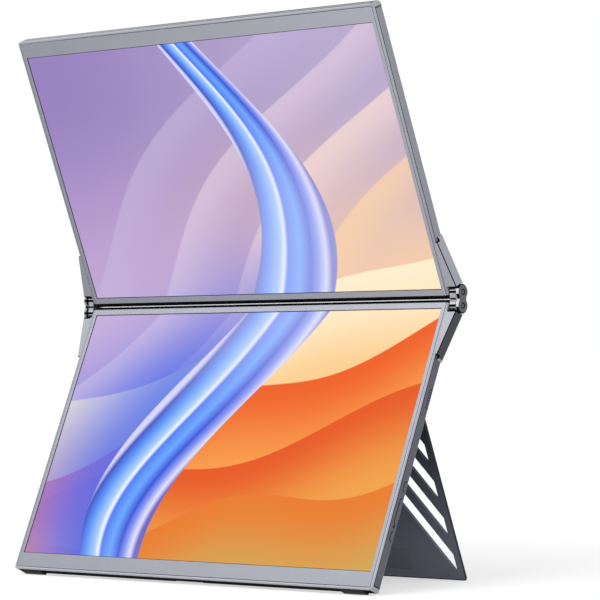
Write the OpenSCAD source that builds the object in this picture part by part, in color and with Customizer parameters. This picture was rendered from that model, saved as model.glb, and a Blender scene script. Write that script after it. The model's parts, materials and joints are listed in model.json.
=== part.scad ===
// Folding laptop screen extender: two slim displays, one above the other,
// joined by a two-axis link hinge, standing on rubber feet and a kickstand.
//
// Each panel is drawn in its own frame: X runs along the hinge, Y runs from
// the front face backwards and Z runs from the hinge line to the far edge.
// The link is drawn with Y backwards and Z from the lower to the upper pivot.
// The kickstand is drawn closed, with Z running from its pin to its free end.

/* [Screens] */
// Width of the lit area of each screen
display_w = 344.16; // [300:0.01:380]
// Height of the lit area of each screen
display_h = 193.59; // [170:0.01:230]
// Dark border between the lit area and the bezel
display_border = 0.5; // [0.2:0.1:1.2]
// Thickness of the liquid crystal cell
cell_t = 1; // [0.6:0.1:1.1]
// Thickness of the backlight behind the cell
backlight_t = 1.6; // [1:0.1:1.7]
// Thickness of the steel tray behind the backlight
tray_t = 0.4; // [0.2:0.1:0.5]
// Clear space beside the cell
cell_gap = 0.7; // [0.3:0.1:1]
// How far the cell reaches past the lit area towards the hinge
cell_over = 1; // [0.8:0.1:1.2]
// Clear space between the cell and the far wall
cell_far_gap = 2; // [0.5:0.1:4]
// Radius of the holes in the tray
tray_hole_r = 9; // [4:0.5:12]
// Spacing of the holes in the tray
tray_hole_pitch = 43; // [26:1:48]

/* [Panels] */
// Thickness of each panel
panel_t = 8.6; // [8.4:0.1:10]
// From the lit area to the side of the panel
side_bezel = 5.7; // [5.4:0.1:12]
// From the lit area to the edge that is away from the hinge
far_bezel = 13.5; // [9:0.5:20]
// From the lit area to the hinge line
hinge_bezel = 4; // [3.8:0.1:8]
// How far the panel's edge stands past the hinge line
edge_over = 1; // [0.4:0.1:1]
// Radius of the two corners that are away from the hinge
far_corner_r = 3.5; // [2:0.1:6]
// Radius of the two corners beside the hinge
near_corner_r = 2; // [1:0.1:2]
// Chamfer along the front edges
edge_chamfer = 0.7; // [0.3:0.1:1]
// Rounding along the back edges
back_round = 1.4; // [0.6:0.1:2]
// Width of the frame's rim beside the bezel
rim_w = 1.9; // [1.5:0.1:2.1]
// Width of the ledge that the bezel sits on
ledge_w = 1.2; // [0.8:0.1:1.2]
// Thickness of the bezel plate
bezel_t = 0.6; // [0.4:0.1:0.7]
// Shadow gap round the bezel plate
bezel_gap = 0.3; // [0.1:0.05:0.5]
// Thickness of the back wall
back_wall = 1.2; // [0.8:0.1:1.4]
// Thickness of the wall beside the hinge
hinge_wall = 1.8; // [1:0.1:2]
// Small clear space between the pieces inside a panel
fit_gap = 0.2; // [0.1:0.05:0.3]

/* [Hinge] */
// Opening angle between the two screens as it stands
opening = 135; // [110:1:160]
// Depth of the hinge line behind the front face
pivot_depth = 4.6; // [4.4:0.1:5]
// Gap between the two front faces when folded shut
closed_gap = 0.3; // [0.2:0.1:1]
// Most opening angle of the hinge
opening_max = 300; // [200:5:300]
// Radius of the hinge shafts
shaft_r = 1.4; // [1.1:0.1:1.6]
// Radial running clearance of a shaft in its bore
running_gap = 0.05; // [0.02:0.01:0.1]
// Radius of the wire bore through the left shafts
wire_bore_r = 0.7; // [0.6:0.05:0.8]
// Radius of the wire bundle between the panels
wire_r = 0.45; // [0.3:0.05:0.5]
// Straight lead of the wires out of the left shaft
wire_lead = 2; // [1.5:0.1:3]
// Distance from the hinge line at which the wires clear the hinge wall
wire_rise = 3.6; // [3:0.1:4]
// Room for the wires beside the knuckle
wire_room = 4; // [3:0.5:6]
// Radius of the bracket's knuckle round the shaft
knuckle_r = 2.7; // [2.2:0.1:2.75]
// Length of the bracket's knuckle
knuckle_w = 16.5; // [10:0.5:20]
// Width of the bracket's leaf
leaf_w = 36; // [28:1:50]
// Height of the bracket's leaf
leaf_h = 36; // [20:1:39]
// Thickness of the bracket's leaf
leaf_t = 1.4; // [1:0.1:1.6]
// Height of the arm that joins the knuckle and the leaf
arm_h = 7; // [4:0.5:10]
// Clear space between the screen's tray and the arm
tray_gap = 0.6; // [0.3:0.1:1]
// Radius of the bracket screws
screw_r = 0.95; // [0.7:0.05:1]
// Radius of the bracket screws' heads
screw_head_r = 1.9; // [1.5:0.1:2.2]
// Depth of the bracket screws' heads
screw_head_t = 0.9; // [0.6:0.1:1.1]
// From the leaf's edges to the bracket screws
screw_inset = 6; // [4:0.5:9]
// Width of the screws' cross recess
cross_w = 0.4; // [0.2:0.05:0.6]
// Depth of the screws' cross recess
cross_d = 0.5; // [0.2:0.1:0.8]

/* [Link] */
// Radius of the link's two barrels
barrel_r = 4.3; // [4:0.1:4.6]
// Length of each barrel
barrel_w = 6; // [4:0.5:8]
// Gap between a panel's side and the barrel
side_gap = 0.6; // [0.4:0.1:1]
// Wall round each barrel's disc chamber
barrel_wall = 1; // [0.8:0.1:1.2]
// Thickness of the end wall beside the panel
barrel_end = 0.9; // [0.6:0.1:1.5]
// How far the link draws in between its two barrels
barrel_waist = 0.7; // [0.4:0.1:1]
// Width of the grooves along the barrels
groove_w = 1.3; // [0.8:0.1:1.5]
// Width of the groove between the two barrels
mid_groove_w = 0.9; // [0.5:0.1:1.3]
// Land between the grooves and the end cap
groove_end = 0.4; // [0.2:0.1:0.8]
// Turn of the outer grooves from the front ones
groove_angle = 62; // [50:1:75]
// Depth of the grooves along the barrels
groove_d = 0.6; // [0.3:0.1:0.7]
// Thickness of the end cap
cap_t = 2.9; // [2.6:0.1:4]
// Wall round the end cap's gear chamber
cap_wall = 0.4; // [0.3:0.1:0.8]
// Thickness of the end cap's outer wall
cap_face = 0.9; // [0.6:0.1:1]
// Half the depth of the end cap at its waist
cap_waist = 4.4; // [3.2:0.1:4.4]
// Bevel round the end cap's outer face
cap_bevel = 0.9; // [0.3:0.1:1]
// Depth of the dimple round each shaft end
dimple_d = 0.3; // [0.1:0.1:0.4]
// Width of the dimple round each shaft end
dimple_w = 0.7; // [0.3:0.1:0.8]
// How far the left shafts reach into the end cap
shaft_over = 0.6; // [0.4:0.1:0.8]
// Thickness of the spine's front web
web_t = 1.1; // [0.7:0.1:1.1]
// Depth of the spine's back edge behind the hinge line
spine_back = 5.6; // [5:0.1:5.6]
// Depth behind the hinge line at which the spine's wings begin
wing_start = 2.2; // [2:0.1:2.6]
// Thickness of the wings' back edge
wing_edge = 0.5; // [0.5:0.1:0.9]
// Thickness of the tabs at the spine's ends
tab_t = 1; // [0.8:0.1:1.2]
// Clear space between the spine and the panels' sweep
sweep_gap = 0.2; // [0.1:0.05:0.3]
// Radius of the spine screws
spine_screw_r = 0.5; // [0.4:0.05:0.6]
// Length of the spine screws
spine_screw_l = 3.2; // [2.5:0.1:3.6]
// Radius of the spine screws' heads
spine_head_r = 0.9; // [0.7:0.05:1]
// Thickness of the spine screws' heads
spine_head_t = 0.3; // [0.2:0.05:0.4]
// From the barrel's ends to the spine screws
spine_screw_inset = 1.6; // [1.2:0.1:2]
// Number of teeth on each gear
gear_teeth = 14; // [10:2:18]
// Height of the gear teeth above the pitch circle
tooth_top = 0.45; // [0.3:0.05:0.5]
// Depth of the gear teeth below the pitch circle
tooth_root = 0.6; // [0.55:0.05:0.8]
// Play between the gear teeth
backlash = 0.14; // [0.08:0.02:0.2]
// Clear space round the gears in the end cap
chamber_gap = 0.1; // [0.05:0.05:0.2]
// Thickness of the friction discs
disc_t = 0.6; // [0.4:0.1:1]
// Gap between neighbouring friction discs
disc_gap = 0.03; // [0.02:0.01:0.1]

/* [Hinge ears] */
// How far the ear stands out from the panel's side beside the hinge
ear_out = 8.5; // [5:0.1:9]
// How far the ear's tip stands out from the panel's side
ear_tip = 1.4; // [0.8:0.1:2]
// From the hinge line to the root of the ear
ear_root = 5.4; // [5.2:0.1:8]
// Length of the ear along the panel's side
ear_l = 34.6; // [24:0.1:36]
// Clear space that the ear's root keeps round the end cap
ear_gap = 0.4; // [0.3:0.1:2]
// Width and depth of the rebate along the ear's front edge
ear_rebate = 0.45; // [0.2:0.05:0.8]
// Length of the pocket at the ear's tip
ear_pocket_l = 3.6; // [2:0.2:5]
// Depth of the pocket at the ear's tip
ear_pocket_d = 3.4; // [2:0.2:4]

/* [Kickstand] */
// Distance of the kickstand's pin from the hinge line
stand_z = 74.9; // [74:0.1:85]
// Length of the kickstand from its pin to the floor
stand_l = 131; // [126:0.1:133]
// Opening angle of the kickstand as it stands
stand_angle = 44.86; // [40:0.01:58]
// Thickness of the kickstand's plate
stand_t = 2; // [1.8:0.1:2.2]
// From the panel's side to the kickstand's side
stand_inset = 6.4; // [5.6:0.1:20]
// Gap between the folded kickstand and its recess
stand_gap = 0.2; // [0.1:0.05:0.4]
// Side and end gap round the folded kickstand
stand_edge_gap = 0.4; // [0.2:0.1:0.8]
// Thickness of the wall behind the kickstand's recess
stand_wall = 0.8; // [0.6:0.1:1]
// Radius of the kickstand's pin
pin_r = 0.5; // [0.4:0.05:0.6]
// Width of each lug that holds the pin
lug_w = 12; // [8:1:20]
// Number of lugs that hold the pin
lug_count = 4; // [2:1:6]
// From the kickstand's side to the middle of the outer lugs
lug_inset = 24; // [14:1:60]
// From the kickstand's side to the ends of its pin and its strip
end_inset = 1; // [0.5:0.1:3]
// Width of the finger notch at the kickstand's free end
notch_w = 28; // [18:1:60]
// Depth of the rubber strip on the kickstand's free end
strip_h = 0.8; // [0.8:0.1:2]
// Number of slots on each side of the kickstand
slot_count = 4; // [2:1:4]
// Spacing of the slots along the kickstand's side
slot_pitch = 27.8; // [22:0.2:28]
// Start of the first slot from the pin
slot_start = 27.8; // [26:0.2:30]
// Length of each slot's mouth along the side
slot_mouth = 15; // [6:0.2:15]
// Rise of the slots towards the middle
slot_angle = 56.5; // [50:0.5:60]
// Width of the rib outside the slots
slot_rib = 5.2; // [4:0.1:8]
// Distance of the slots' inner ends from the pin
slot_top = 10; // [8:0.5:14]
// Width of the grip pad on the kickstand's inner face
grip_w = 250; // [120:5:260]
// Height of the grip pad
grip_h = 16; // [8:1:17]
// Thickness of the grip pad
grip_t = 0.3; // [0.2:0.1:0.5]
// Clear space between the grip pad and the free end
grip_end = 6; // [4:0.5:10]

/* [Feet] */
// Length of each rubber foot
foot_w = 21; // [15:1:40]
// From the panel's side to the foot
foot_inset = 8; // [4.5:0.1:20]
// Height of the foot at its back
foot_h = 1.3; // [0.8:0.1:3]
// Depth of the foot from front to back
foot_d = 6; // [4:0.1:6]
// Depth of the foot's front face behind the panel's front
foot_front = 1.2; // [0.8:0.1:1.2]
// Width of the flat at the foot's back, which the foot stands on
foot_flat = 0.6; // [0.4:0.1:3]

/* [Buttons and sockets] */
// Depth of the buttons behind the front face
button_y = 5.6; // [5.4:0.1:5.8]
// Width of the buttons
button_w = 2; // [1.6:0.1:2.2]
// How far the buttons stand out of the side
button_out = 0.25; // [0.1:0.05:0.5]
// Travel of the buttons
button_travel = 0.35; // [0.2:0.05:0.4]
// Gap round each button
button_gap = 0.15; // [0.1:0.05:0.25]
// Distance of the power button from the hinge line
power_z = 134.4; // [130:0.1:136]
// Length of the power button
power_l = 6.4; // [4:0.1:8]
// Space between the power button and the rocker
rocker_space = 5.9; // [3:0.1:8]
// Length of the rocker
rocker_l = 18; // [12:0.5:20]
// Radius of the ridge that the rocker tilts on
rocker_ridge_r = 0.6; // [0.4:0.1:0.6]
// Radius of the notch in the middle of the rocker
rocker_notch_r = 0.9; // [0.6:0.1:1.2]
// Depth of the notch in the middle of the rocker
rocker_notch_d = 0.3; // [0.1:0.1:0.5]
// Space between the rocker and the middle of the lamp
lamp_space = 2.3; // [1.5:0.1:4]
// Radius of the lamp's light pipe
lamp_r = 0.5; // [0.4:0.05:0.6]
// Space between the middle of the lamp and the menu button
menu_space = 3.8; // [1.5:0.1:6]
// Length of the menu button
menu_l = 6; // [4:0.1:7]
// Thickness of the side wall outside the buttons' flanges
button_wall = 1.5; // [1:0.1:1.7]
// Clear space past the outer buttons in their bay
button_bay_gap = 2; // [1:0.1:4]
// Thickness of the buttons' flanges
flange_t = 0.5; // [0.3:0.05:0.5]
// How far the flanges stand out round the buttons
flange_rim = 0.4; // [0.2:0.05:0.5]
// Height of the switches behind the rocker
switch_t = 0.9; // [0.5:0.05:0.9]
// Width of the switches
switch_w = 2; // [1.2:0.1:2.4]
// From the rocker's ends to the middle of its switches
switch_inset = 3.6; // [2:0.1:5]
// Thickness of the button board
button_board_t = 0.6; // [0.4:0.05:0.6]
// Distance of the speaker grille's middle from the hinge line
grille_z = 69.6; // [68:0.1:71]
// Number of slots in each speaker grille
grille_count = 8; // [4:1:8]
// Spacing of the speaker grille's slots
grille_pitch = 1.9; // [1.5:0.1:2]
// Width of the speaker grille's slots
grille_slot = 0.9; // [0.5:0.1:1]
// Length of the speaker grille's slots
grille_l = 2.6; // [2:0.1:2.8]
// Space between the hinge bracket and the first socket
socket_space = 4.3; // [1:0.1:5]
// Spacing of the two sockets
socket_pitch = 10.8; // [10:0.1:11.2]
// Width of each socket's shell
socket_w = 8.9; // [8:0.1:9]
// Height of each socket's shell
socket_h = 3.2; // [2.8:0.1:3.2]
// Depth of each socket
socket_l = 7.3; // [6:0.1:9]
// Thickness of a socket's shell
socket_wall = 0.3; // [0.2:0.05:0.4]
// Thickness of a socket's back wall
socket_back = 0.6; // [0.3:0.1:1]
// Thickness of a socket's tongue
tongue_t = 0.7; // [0.6:0.05:0.8]
// Width of a socket's tongue
tongue_w = 6.6; // [5.5:0.1:7]
// Depth of the tongue's end inside the socket's mouth
tongue_in = 1; // [0.4:0.1:1.5]

/* [Boards] */
// Thickness of the circuit boards
board_t = 0.8; // [0.6:0.1:1]
// Depth of the circuit boards' front faces
board_y = 5; // [4.6:0.1:5.1]
// Space between the boards and the hinge brackets' leaves
board_side = 10.5; // [2:0.5:40]
// Clear space between the boards and what lies beyond their edges
board_gap = 0.8; // [0.4:0.1:1.5]
// Distance of the boards' near edges from the hinge line
board_z0 = 6; // [5:0.5:10]
// Height of the driver board
driver_h = 28; // [20:1:60]
// Height of the chips on the boards
chip_t = 1.1; // [0.8:0.1:1.2]
// Spacing of the places for chips along the boards
chip_pitch = 9; // [8:0.5:12]
// Width of the scaler chip
chip_big = 16; // [10:1:17]
// Width of the middling chips
chip_mid = 10; // [6:0.5:12]
// Width of the smallest chips
chip_small = 4; // [2:0.5:6]
// Height of the speakers
speaker_h = 7.6; // [5:0.1:9]
// Width of the speakers
speaker_w = 31; // [20:1:60]
// Clear space between a speaker and the panel's inner side
speaker_side = 4.5; // [4.2:0.1:8]
// Width of the openings in a speaker's front
speaker_slot = 2; // [1:0.1:2.5]
// Depth of the openings in a speaker's front
speaker_slot_d = 0.5; // [0.3:0.1:0.8]

/* [Hidden] */

$fn = 48;
// Overshoot of a cut past the face that it opens
over = 1;
// Hair's breadth between pieces that are pressed or glued together
hair = 0.01;

// Panel: outline and depths
half_w = display_w / 2 + side_bezel;
far_z = hinge_bezel + display_h + far_bezel;
seat_half_w = half_w - rim_w;
seat_far = far_z - rim_w;
bay_half_w = seat_half_w - ledge_w;
bay_z0 = hinge_wall - edge_over;
bay_far = seat_far - ledge_w;
bay_deep = panel_t - back_wall;
cell_y = bezel_t;
backlight_y = cell_y + cell_t;
tray_y = backlight_y + backlight_t;
stack_back = tray_y + tray_t;
cell_half_w = bay_half_w - cell_gap;
cell_z0 = hinge_bezel - cell_over;
cell_far = bay_far - cell_far_gap;

// Hinge: swept radii and places along X
pivot_spacing = 2 * pivot_depth + closed_gap;
half_spacing = pivot_spacing / 2;
back_depth = panel_t - pivot_depth;
back_sweep_r = norm([back_depth, edge_over]);
knuckle_x1 = half_w - fit_gap;
knuckle_x0 = knuckle_x1 - knuckle_w;
leaf_x1 = bay_half_w - fit_gap;
leaf_x0 = leaf_x1 - leaf_w;
leaf_z0 = bay_z0 + fit_gap;
leaf_z1 = leaf_z0 + leaf_h;
leaf_y = bay_deep - leaf_t;
arm_y = stack_back + tray_gap;
arm_z1 = leaf_z0 + arm_h;
screw_rows = [arm_z1 + screw_inset, leaf_z1 - screw_inset];
screw_cols = [leaf_x0 + screw_inset, leaf_x1 - screw_inset];

// Link: places along X
barrel_x0 = half_w + side_gap;
barrel_x1 = barrel_x0 + barrel_w;
cap_x1 = barrel_x1 + cap_t;
cap_inner = cap_x1 - cap_face;
gear_r = half_spacing;
gear_tip_r = gear_r + tooth_top;
cap_r = gear_tip_r + chamber_gap + cap_wall;
disc_chamber_r = barrel_r - barrel_wall;
disc_chamber_x0 = barrel_x0 + barrel_end;
spine_screw_x = [barrel_x0 + spine_screw_inset, barrel_x1 - spine_screw_inset];
ear_half_w = half_w + ear_out;
ear_z1 = ear_root + ear_l;

// Spine: the web and the wings that close the gap from behind
flare_r = back_sweep_r + sweep_gap;
web_y0 = edge_over + sweep_gap;
half_max = opening_max / 2;
wing_y1 = spine_back - wing_edge;
// Half the height at depth p that the folded-back panels leave free
function wing_z(p) = half_spacing
  - max(0, back_depth + sweep_gap + running_gap - p * sin(half_max)) / abs(cos(half_max));
wing_top = wing_z(wing_y1);
tab_y0 = spine_back - tab_t;
tab_half = wing_z(tab_y0);

// Kickstand: pin place and recess
stand_half_w = half_w - stand_inset;
stand_r = stand_t / 2;
stand_y = panel_t - stand_r;
recess_y = panel_t - stand_t - stand_gap;
recess_z0 = stand_z - stand_r - stand_edge_gap;
bay_shallow = recess_y - stand_wall;
bay_step = recess_z0 - stand_wall;
plate_l = stand_l - strip_h;
lug_span = 2 * (stand_half_w - lug_inset);

// Lean of the lower panel, whose floor runs from the foot's back corner to the
// kickstand's end, and of the pieces that follow it
stand_end_y = stand_y + stand_l * sin(stand_angle) - stand_r * cos(stand_angle);
stand_end_z = stand_z + stand_l * cos(stand_angle) + stand_r * sin(stand_angle);
foot_back = foot_front + foot_d;
lean = atan((far_z + foot_h - stand_end_z) / (stand_end_y - foot_back));
fold = 180 - opening;
link_lean = lean - fold / 2;
upper_lean = fold - lean;
stand_tilt = stand_angle - lean;
strip_slope = stand_t * tan(stand_tilt);
foot_slope = foot_flat * tan(lean);
recess_z1 = stand_z + stand_l + strip_slope + stand_edge_gap;

// Row frame: the middle of the footprint lies at Y = 0 and the floor at Z = 0
pivot_height = (far_z + foot_h) * cos(lean) + (foot_back - pivot_depth) * sin(lean);
foot_front_y = (foot_front - pivot_depth) * cos(lean)
  - (far_z + foot_h + foot_slope) * sin(lean);
cover_front_y = -pivot_depth * cos(lean) - (far_z - edge_chamfer) * sin(lean);
stand_pin_y = (stand_y - pivot_depth) * cos(lean) - stand_z * sin(lean);
stand_back_y = stand_pin_y + (stand_l + strip_slope) * sin(stand_tilt)
  + stand_r * cos(stand_tilt);
pivot_y = -(min(foot_front_y, cover_front_y) + stand_back_y) / 2;

// Buttons: their places and the bay behind them, in the panel's right side
rocker_z = power_z + (power_l + rocker_l) / 2 + rocker_space;
lamp_z = rocker_z + rocker_l / 2 + lamp_space;
menu_z = lamp_z + menu_space + menu_l / 2;
button_bay_x1 = half_w - button_wall;
button_bay_x0 = stand_half_w + stand_edge_gap + stand_wall;
button_bay_y0 = stack_back + fit_gap;
button_bay_z0 = power_z - power_l / 2 - button_bay_gap;
button_bay_z1 = menu_z + menu_l / 2 + button_bay_gap;
button_board_x = button_bay_x0 + fit_gap;
switch_x = button_board_x + button_board_t;
press_x = button_bay_x1 - flange_t - button_travel - running_gap;
rocker_axis_x = button_bay_x1 - rocker_ridge_r;
rocker_flange_x = button_bay_x1 - flange_rim - flange_t;

// Boards, speakers and sockets: their places beside the kickstand's recess
speaker_z1 = bay_step - fit_gap;
speaker_z0 = speaker_z1 - speaker_h;
speaker_x1 = bay_half_w - speaker_side;
board_z1 = speaker_z0 - board_gap;
board_half_w = leaf_x0 - board_side;
driver_z1 = board_z0 + driver_h;
socket_z = leaf_z1 + socket_space + socket_w / 2;

// Colours
space_grey = [0.56, 0.57, 0.6];
dark_grey = [0.3, 0.31, 0.34];
steel = [0.7, 0.71, 0.73];
near_black = [0.05, 0.05, 0.055];
board_green = [0.06, 0.22, 0.14];
gold = [0.78, 0.6, 0.28];
white_film = [0.86, 0.87, 0.88];
screen_glass = [0.32, 0.3, 0.55];

// Plate in the X-Z plane, from depth y0 to depth y1
module slab(y0, y1) {
  translate([0, y1, 0]) rotate([90, 0, 0]) linear_extrude(height = y1 - y0) children();
}

// Bar along X whose section is drawn as depth and height
module bar(x0, x1) {
  translate([x0, 0, 0]) rotate([90, 0, 90]) linear_extrude(height = x1 - x0) children();
}

// Round rod along X
module rod(x0, x1, r, y = 0, z = 0) {
  translate([x0, y, z]) rotate([0, 90, 0]) cylinder(r = r, h = x1 - x0);
}

// Block between two corners
module block(a, b) {
  translate(a) cube(b - a);
}

// Flat rectangle, from -w to w across and from z0 to z1
module strip_shape(w, z0, z1) {
  translate([-w, z0]) square([2 * w, z1 - z0]);
}

// What a rounded corner at the origin leaves off
module round_cut(r) {
  difference() {
    translate([-over, -over]) square(r + over);
    translate([r, r]) circle(r = r);
  }
}

// What a chamfered corner at the origin leaves off
module chamfer_cut(c) {
  polygon([[-over, -over], [c + over, -over], [-over, c + over]]);
}

// The same piece on the right and mirrored on the left
module both_sides() {
  children();
  mirror([1, 0, 0]) children();
}

// Side view of a panel: chamfered at the front and rounded at the back
module edge_profile(low, high) {
  difference() {
    translate([0, low]) square([panel_t, high - low]);
    for (end = [0, 1]) {
      translate([0, end == 0 ? low : high]) mirror([0, end, 0]) {
        chamfer_cut(edge_chamfer);
        translate([panel_t, 0]) mirror([1, 0, 0]) round_cut(back_round);
      }
    }
  }
}

// Whole outside of a panel's body
module panel_form() {
  intersection() {
    slab(0, panel_t) difference() {
      strip_shape(half_w, -edge_over, far_z);
      for (side = [0, 1]) mirror([side, 0, 0]) {
        translate([-half_w, -edge_over]) round_cut(near_corner_r);
        translate([-half_w, far_z]) mirror([0, 1, 0]) round_cut(far_corner_r);
      }
    }
    bar(-half_w, half_w) edge_profile(-edge_over, far_z);
    translate([0, 0, -edge_over]) linear_extrude(height = far_z + edge_over)
      mirror([1, -1, 0]) edge_profile(-half_w, half_w);
  }
}

// Opening in the hinge wall for a bracket's knuckle, on the right side
module knuckle_window() {
  reach = knuckle_r + fit_gap;
  block([knuckle_x0 - wire_room, pivot_depth - reach, -edge_over - over],
        [half_w + over, pivot_depth + reach, reach]);
}

// Countersunk holes for the bracket screws, on the right side
module bracket_screw_holes(gap) {
  for (x = screw_cols, z = screw_rows) translate([x, panel_t, z]) rotate([90, 0, 0]) {
    translate([0, 0, -over]) cylinder(r = screw_head_r + gap, h = over);
    cylinder(r1 = screw_head_r + gap, r2 = screw_r + gap, h = screw_head_t);
    cylinder(r = screw_r + gap, h = panel_t - leaf_y + over);
  }
}

// Cover with everything that both panels share
module cover_shell(deep_far) {
  difference() {
    panel_form();
    slab(-over, bezel_t) strip_shape(seat_half_w, -edge_over - over, seat_far);
    slab(-over, bay_shallow) strip_shape(bay_half_w, bay_z0, bay_far);
    slab(-over, bay_deep) strip_shape(bay_half_w, bay_z0, deep_far);
    both_sides() knuckle_window();
    both_sides() bracket_screw_holes(running_gap);
  }
}

// Places of the kickstand's lugs along X
function lug_x(i) = -lug_span / 2 + lug_span * i / (lug_count - 1);

module stand_lugs() {
  for (i = [0 : lug_count - 1]) {
    rod(lug_x(i) - lug_w / 2, lug_x(i) + lug_w / 2, stand_r, stand_y, stand_z);
    block([lug_x(i) - lug_w / 2, stand_y, recess_z0 - hair],
          [lug_x(i) + lug_w / 2, panel_t, stand_z]);
    block([lug_x(i) - lug_w / 2, recess_y - hair, recess_z0 - hair],
          [lug_x(i) + lug_w / 2, stand_y, stand_z + stand_r]);
  }
}

// Slots of one speaker grille through the right side
module grille_slots() {
  first = grille_z - grille_pitch * (grille_count - 1) / 2;
  for (i = [0 : grille_count - 1])
    block([bay_half_w - over, panel_t - back_round - grille_l,
           first + i * grille_pitch - grille_slot / 2],
          [half_w + over, panel_t - back_round,
           first + i * grille_pitch + grille_slot / 2]);
}

// Round-ended opening of a length and width, as a prism along X
module stadium_bar(x0, x1, y, z, w, l) {
  bar(x0, x1) translate([y, z]) {
    square([w, l - w], center = true);
    for (end = [-1, 1]) translate([0, end * (l - w) / 2]) circle(r = w / 2);
  }
}

function socket_place(i) = socket_z + i * socket_pitch;

module lower_back_cover() {
  color(space_grey) place_lower() difference() {
    union() {
      difference() {
        cover_shell(bay_step);
        // Recess that the folded kickstand lies in, with its finger notch
        slab(recess_y, panel_t + over) strip_shape(stand_half_w + stand_edge_gap, recess_z0, recess_z1);
        slab(recess_y, panel_t + over) strip_shape(notch_w / 2, recess_z1 - over, far_z + over);
        // Bay and openings of the buttons and the lamp
        block([button_bay_x0, button_bay_y0, button_bay_z0],
              [button_bay_x1, bay_deep, button_bay_z1]);
        block([button_bay_x0, button_bay_y0, button_bay_z0],
              [bay_half_w + hair, bay_shallow, button_bay_z1]);
        button_opening(power_z, power_l);
        button_opening(rocker_z, rocker_l);
        button_opening(menu_z, menu_l);
        rod(button_bay_x1 - over, half_w + over, lamp_r + running_gap, button_y, lamp_z);
        both_sides() grille_slots();
        for (i = [0, 1])
          stadium_bar(-half_w - over, -bay_half_w + over, button_y, socket_place(i),
                      socket_h + 2 * running_gap, socket_w + 2 * running_gap);
      }
      stand_lugs();
    }
    rod(-stand_half_w, stand_half_w, pin_r + running_gap, stand_y, stand_z);
  }
}

module button_opening(z, l) {
  stadium_bar(button_bay_x1 - over, half_w + over, button_y, z,
              button_w + 2 * button_gap, l + 2 * button_gap);
}

module upper_back_cover() {
  color(space_grey) place_upper() cover_shell(bay_far);
}

// Thin frame round the screen
module bezel_plate() {
  slab(0, bezel_t) difference() {
    strip_shape(seat_half_w - bezel_gap, -edge_over + bezel_gap, seat_far - bezel_gap);
    strip_shape(display_w / 2 + display_border, hinge_bezel - display_border,
                hinge_bezel + display_h + display_border);
  }
}

module lower_bezel() {
  color(space_grey) place_lower() bezel_plate();
}

module upper_bezel() {
  color(space_grey) place_upper() bezel_plate();
}

module screen_cell() {
  slab(cell_y, backlight_y) strip_shape(cell_half_w, cell_z0, cell_far);
}

module lower_screen_glass() {
  color(screen_glass) place_lower() screen_cell();
}

module upper_screen_glass() {
  color(screen_glass) place_upper() screen_cell();
}

module backlight_box() {
  slab(backlight_y, tray_y) strip_shape(cell_half_w, cell_z0, cell_far);
}

module lower_backlight() {
  color(white_film) place_lower() backlight_box();
}

module upper_backlight() {
  color(white_film) place_upper() backlight_box();
}

// Steel sheet with two rows of lightening holes
module tray_sheet() {
  mid = (cell_z0 + cell_far) / 2;
  slab(tray_y, stack_back) difference() {
    strip_shape(cell_half_w, cell_z0, cell_far);
    for (column = [-3 : 3], row = [-1, 1])
      translate([column * tray_hole_pitch, mid + row * tray_hole_pitch]) circle(r = tray_hole_r);
  }
}

module lower_screen_tray() {
  color(steel) place_lower() tray_sheet();
}

module upper_screen_tray() {
  color(steel) place_upper() tray_sheet();
}

// Flared flange beside the panel on the right, from the link to its tip
module ear() {
  tip_w = half_w + ear_tip;
  flare = atan((ear_half_w - tip_w) / ear_l);
  slant = norm([ear_half_w - tip_w, ear_l]);
  difference() {
    slab(0, panel_t)
      polygon([[half_w - over, ear_root], [ear_half_w, ear_root], [tip_w, ear_z1],
               [half_w, ear_z1 + ear_tip], [half_w - over, ear_z1 + ear_tip]]);
    panel_form();
    rod(half_w - over, ear_half_w + over, cap_r + ear_gap, pivot_depth, 0);
    translate([ear_half_w, 0, ear_root]) rotate([0, -flare, 0])
      translate([0, 0, -over * 2]) linear_extrude(height = slant + 4 * over) {
        translate([0, panel_t]) rotate(180) round_cut(back_round);
        translate([-ear_rebate, -over]) square([ear_rebate + over, ear_rebate + over]);
      }
    block([half_w - over, -over, ear_z1 - ear_pocket_l / 2],
          [ear_half_w, ear_pocket_d, ear_z1 + ear_pocket_l]);
  }
}

module lower_ear_right() {
  color(space_grey) place_lower() ear();
}

module lower_ear_left() {
  color(space_grey) place_lower() mirror([1, 0, 0]) ear();
}

module upper_ear_right() {
  color(space_grey) place_upper() ear();
}

module upper_ear_left() {
  color(space_grey) place_upper() mirror([1, 0, 0]) ear();
}

// Right bracket: a knuckle that grips the shaft and a leaf on the cover
module hinge_bracket() {
  difference() {
    union() {
      rod(knuckle_x0, knuckle_x1, knuckle_r, pivot_depth, 0);
      block([knuckle_x0, arm_y, 0], [leaf_x1, pivot_depth + knuckle_r - fit_gap, arm_z1]);
      slab(leaf_y, bay_deep) translate([leaf_x0, leaf_z0]) square([leaf_w, leaf_h]);
    }
    rod(knuckle_x0 - over, knuckle_x1 + over, shaft_r + hair, pivot_depth, 0);
    bracket_screw_holes(running_gap);
  }
}

module lower_hinge_brackets() {
  color(dark_grey) place_lower() both_sides() hinge_bracket();
}

module upper_hinge_brackets() {
  color(dark_grey) place_upper() both_sides() hinge_bracket();
}

// Countersunk screws that hold a bracket's leaf to the back cover
module bracket_screws() {
  for (x = screw_cols, z = screw_rows) translate([x, panel_t, z]) rotate([90, 0, 0])
    difference() {
      union() {
        cylinder(r1 = screw_head_r, r2 = screw_r, h = screw_head_t);
        cylinder(r = screw_r, h = panel_t - leaf_y - running_gap);
      }
      for (turn = [0, 90]) rotate(turn)
        translate([0, 0, (cross_d - over) / 2])
          cube([screw_head_r, cross_w, cross_d + over], center = true);
    }
}

module lower_bracket_screws() {
  color(near_black) place_lower() both_sides() bracket_screws();
}

module upper_bracket_screws() {
  color(near_black) place_upper() both_sides() bracket_screws();
}

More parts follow.
